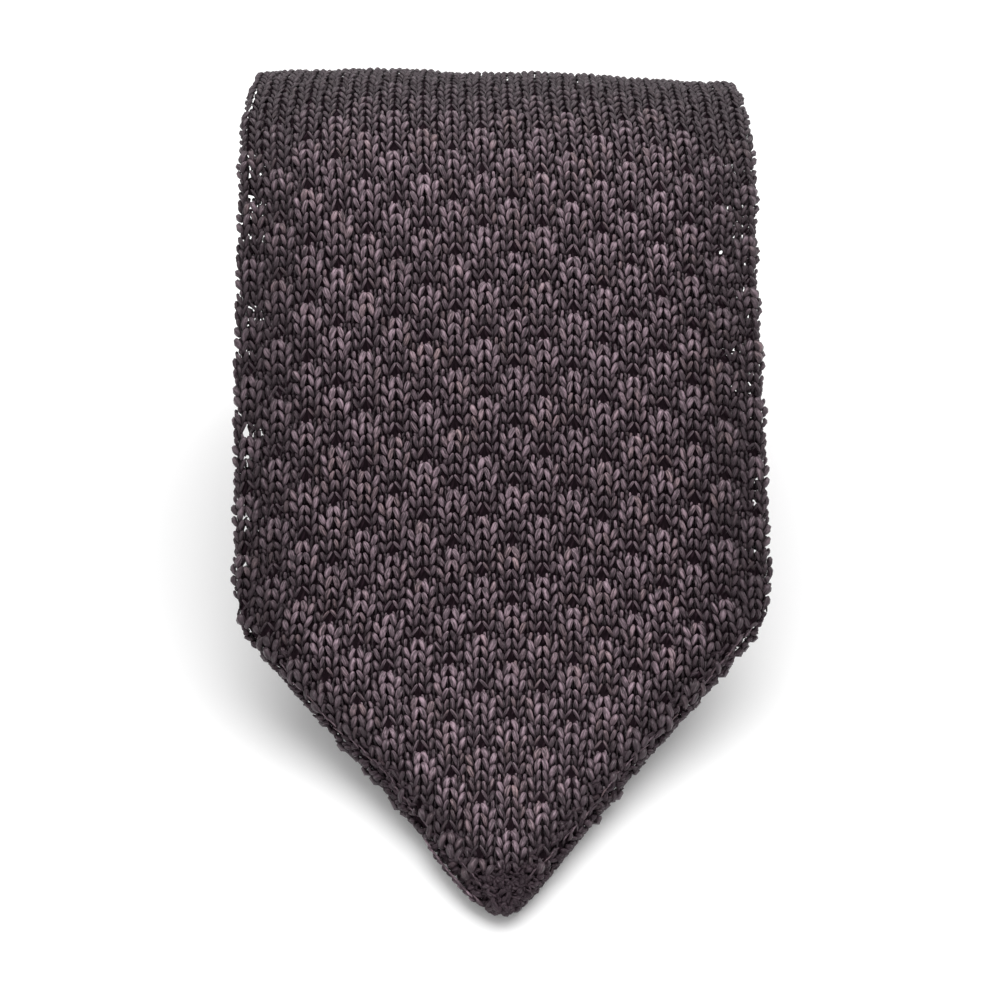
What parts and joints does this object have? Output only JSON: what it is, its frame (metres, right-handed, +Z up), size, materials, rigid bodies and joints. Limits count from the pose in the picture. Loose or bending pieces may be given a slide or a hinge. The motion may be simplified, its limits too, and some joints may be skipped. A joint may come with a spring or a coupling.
{
  "type": "knitted necktie, rolled up",
  "caption": "Pointed knitted necktie, rolled up from its narrow end, with the wide end drawn down in front of the roll.",
  "frame": {"origin": "on the surface that the tie lies on, under the middle of its box", "axes": "+Z up, -Y forward to the point of the wide end, +X along the roll's axis, to the right as seen from in front of the point"},
  "size_m": [0.0598, 0.1142, 0.0548],
  "materials": {
    "knit": "knitted, matt with a soft sheen"
  },
  "bodies": {
    "root": {"knit_tube": "knit", "left_corner_fold": "knit", "right_corner_fold": "knit"}
  },
  "joints": []
}
